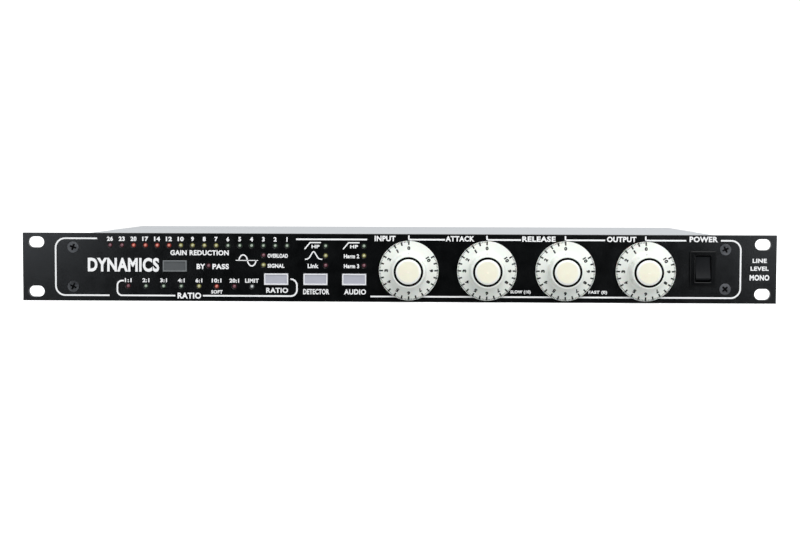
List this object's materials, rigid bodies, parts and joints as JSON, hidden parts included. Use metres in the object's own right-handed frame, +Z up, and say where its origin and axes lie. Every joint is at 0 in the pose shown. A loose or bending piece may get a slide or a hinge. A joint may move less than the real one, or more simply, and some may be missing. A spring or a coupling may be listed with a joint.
{
  "type": "rack compressor",
  "caption": "Nineteen-inch, one-unit rack compressor with skirted dials, push buttons, lamp rows, a power rocker and rear audio and mains sockets.",
  "frame": {"origin": "centre of the rack slot pattern, on the rear face of the front panel", "axes": "+X to the right seen from the front, +Y to the back, +Z up"},
  "size_m": [0.4826, 0.2892, 0.0436],
  "materials": {
    "panel_black": "fine black powder coat",
    "screw_black": "black oxide",
    "case_steel": "zinc-plated sheet",
    "cover_silver": "satin silver-grey paint",
    "rear_black": "satin black",
    "board_green": "solder mask",
    "brass_plated": "plated",
    "cable_grey": "ribbon cable",
    "wire_brown": "wire insulation",
    "winding_tape": "taped copper winding on a steel core",
    "plate_steel": "zinc plated",
    "sink_black": "black anodised",
    "chip_black": "moulded epoxy",
    "capacitor_blue": "shrink sleeve",
    "relay_cream": "moulded",
    "pot_grey": "moulded",
    "nut_steel": "nickel plated",
    "lamp_dim_red": "diffused lens, unlit",
    "lamp_lit_red": "diffused lens, lit",
    "lamp_yellow": "diffused lens",
    "lamp_green": "diffused lens",
    "lamp_clear": "water-clear lens",
    "button_dark": "moulded",
    "button_pale": "moulded",
    "switch_black": "moulded",
    "rocker_black": "moulded",
    "inlet_black": "moulded",
    "pin_tin": "nickel plated",
    "fuse_glass": "glass tube",
    "xlr_black": "black plated",
    "latch_steel": "nickel plated",
    "knob_white": "moulded phenolic",
    "ring_black": "moulded",
    "cap_cream": "moulded",
    "shaft_steel": "turned"
  },
  "bodies": {
    "chassis": {"front_panel": "panel_black", "flat_head_screws": "screw_black", "left_side": "case_steel", "right_side": "case_steel", "chassis_floor": "case_steel", "top_cover": "cover_silver", "rear_panel": "rear_black", "m3_screws": "screw_black", "main_board": "board_green", "board_spacers": "brass_plated", "control_board": "board_green", "ribbon_cable": "cable_grey", "mains_wires": "wire_brown", "transformer": "winding_tape", "transformer_plate": "plate_steel", "transformer_bolt": "plate_steel", "heat_sink": "sink_black", "regulators": "chip_black", "capacitors": "capacitor_blue", "audio_chips": "chip_black", "relays": "relay_cream", "potentiometers": "pot_grey", "bushing_nuts": "nut_steel", "dim_red_lamps": "lamp_dim_red", "lit_red_lamps": "lamp_lit_red", "yellow_lamps": "lamp_yellow", "green_lamps": "lamp_green", "clear_lamp": "lamp_clear", "key_switches": "switch_black", "power_switch": "switch_black", "mains_inlet": "inlet_black", "inlet_pins": "pin_tin", "xlr_input": "xlr_black", "xlr_output": "xlr_black", "xlr_pins": "brass_plated", "jack_sockets": "switch_black"},
    "input_dial": {"input_knob": "knob_white", "input_ring": "ring_black", "input_cap": "cap_cream", "input_shaft": "shaft_steel"},
    "attack_dial": {"attack_knob": "knob_white", "attack_ring": "ring_black", "attack_cap": "cap_cream", "attack_shaft": "shaft_steel"},
    "release_dial": {"release_knob": "knob_white", "release_ring": "ring_black", "release_cap": "cap_cream", "release_shaft": "shaft_steel"},
    "output_dial": {"output_knob": "knob_white", "output_ring": "ring_black", "output_cap": "cap_cream", "output_shaft": "shaft_steel"},
    "bypass_key": {"bypass_button": "button_dark"},
    "ratio_key": {"ratio_button": "button_pale"},
    "detector_key": {"detector_button": "button_pale"},
    "audio_key": {"audio_button": "button_pale"},
    "power_key": {"power_rocker": "rocker_black"},
    "xlr_release": {"xlr_latch": "latch_steel"},
    "fuse_holder": {"fuse_drawer": "inlet_black", "fuse": "fuse_glass"}
  },
  "joints": [
    {"name": "input_turn", "type": "hinge", "parent": "chassis", "child": "input_dial", "pos_m": [0.007, -0.01, -0.0015], "axis": [0, 1, 0], "range_deg": [0, 300]},
    {"name": "attack_turn", "type": "hinge", "parent": "chassis", "child": "attack_dial", "pos_m": [0.0569, -0.01, -0.0015], "axis": [0, 1, 0], "range_deg": [0, 300]},
    {"name": "release_turn", "type": "hinge", "parent": "chassis", "child": "release_dial", "pos_m": [0.1069, -0.01, -0.0015], "axis": [0, 1, 0], "range_deg": [0, 300]},
    {"name": "output_turn", "type": "hinge", "parent": "chassis", "child": "output_dial", "pos_m": [0.158, -0.01, -0.0015], "axis": [0, 1, 0], "range_deg": [0, 300]},
    {"name": "bypass_press", "type": "slide", "parent": "chassis", "child": "bypass_key", "axis": [0, 1, 0], "range_m": [0, 0.0015], "stiffness_N_per_m": 600, "springref_m": -0.001},
    {"name": "ratio_press", "type": "slide", "parent": "chassis", "child": "ratio_key", "axis": [0, 1, 0], "range_m": [0, 0.0015], "stiffness_N_per_m": 600, "springref_m": -0.001},
    {"name": "detector_press", "type": "slide", "parent": "chassis", "child": "detector_key", "axis": [0, 1, 0], "range_m": [0, 0.0015], "stiffness_N_per_m": 600, "springref_m": -0.001},
    {"name": "audio_press", "type": "slide", "parent": "chassis", "child": "audio_key", "axis": [0, 1, 0], "range_m": [0, 0.0015], "stiffness_N_per_m": 600, "springref_m": -0.001},
    {"name": "power_rock", "type": "hinge", "parent": "chassis", "child": "power_key", "pos_m": [0.1944, -0.0005, 0.0004], "axis": [1, 0, 0], "range_deg": [0, 20]},
    {"name": "xlr_latch_press", "type": "slide", "parent": "chassis", "child": "xlr_release", "axis": [0, -1, 0], "range_m": [0, 0.0015], "stiffness_N_per_m": 600, "springref_m": -0.001},
    {"name": "fuse_drawer_slide", "type": "slide", "parent": "chassis", "child": "fuse_holder", "axis": [0, 1, 0], "range_m": [0, 0.018]}
  ]
}
